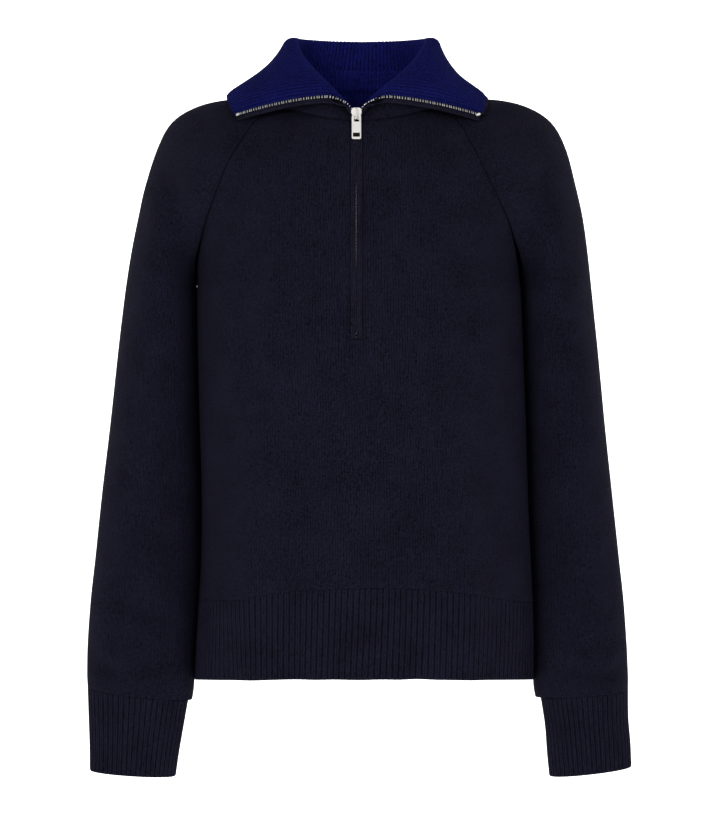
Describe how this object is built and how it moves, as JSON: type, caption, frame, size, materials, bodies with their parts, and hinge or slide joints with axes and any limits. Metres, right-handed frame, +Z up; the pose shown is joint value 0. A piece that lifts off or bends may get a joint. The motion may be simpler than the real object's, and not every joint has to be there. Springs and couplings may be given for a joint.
{
  "type": "quarter zip sweater",
  "caption": "Raglan quarter-zip sweater in fine dark knit with ribbed cuffs and hem, its zip partly open and the ribbed collar folded out over a brighter inner ply.",
  "frame": {"origin": "middle of the neck hole between the shoulders, the mount wearer", "axes": "+Z up, the front faces -Y, +X is the right of someone who looks at the front"},
  "size_m": [0.5713, 0.2442, 0.7778],
  "materials": {
    "navy_knit": "fine matte wool knit in dark navy",
    "navy_rib": "ribbed wool knit in dark navy",
    "cobalt_rib": "ribbed wool knit in cobalt blue",
    "zip_chain": "bright metal teeth on a navy woven tape",
    "hardware": "satin silver metal"
  },
  "bodies": {
    "sweater": {"front": "navy_knit", "back": "navy_knit", "sleeve_left": "navy_knit", "sleeve_right": "navy_knit", "hem_front": "navy_rib", "hem_back": "navy_rib", "cuff_left": "navy_rib", "cuff_right": "navy_rib", "collar_outer": "navy_rib", "collar_facing": "cobalt_rib", "zip_band_left": "navy_knit", "zip_band_right": "navy_knit", "zip_left": "zip_chain", "zip_right": "zip_chain", "slider": "hardware"},
    "pull_tab": {"pull_tab": "hardware"}
  },
  "joints": [
    {"name": "pull_tab_swing", "type": "hinge", "parent": "sweater", "child": "pull_tab", "pos_m": [-0.001, -0.10025, -0.01445], "axis": [-1, 0, 0], "range_deg": [0, 140]}
  ]
}
